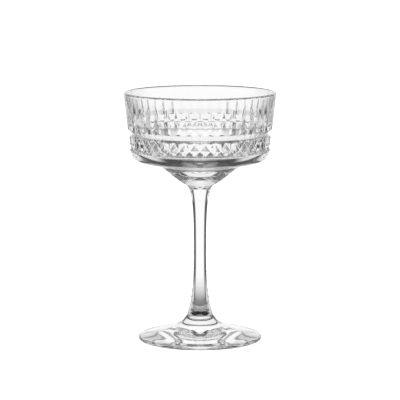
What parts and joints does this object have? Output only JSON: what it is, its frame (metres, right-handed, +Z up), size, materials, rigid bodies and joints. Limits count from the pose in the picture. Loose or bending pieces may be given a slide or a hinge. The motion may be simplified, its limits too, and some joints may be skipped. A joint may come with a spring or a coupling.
{
  "type": "coupe glass",
  "caption": "Clear stemmed coupe for drinks, with a fluted and diamond-cut bowl, a waisted stem and a spread round foot.",
  "frame": {"origin": "centre of the foot, on the plane that it rests on", "axes": "+Z up along the axis of the glass, -Y towards the front flute, +X to the right seen from the front"},
  "size_m": [0.095, 0.095, 0.156],
  "materials": {
    "glass": "clear, polished"
  },
  "bodies": {
    "root": {"bowl": "glass", "stem": "glass", "foot": "glass"}
  },
  "joints": []
}
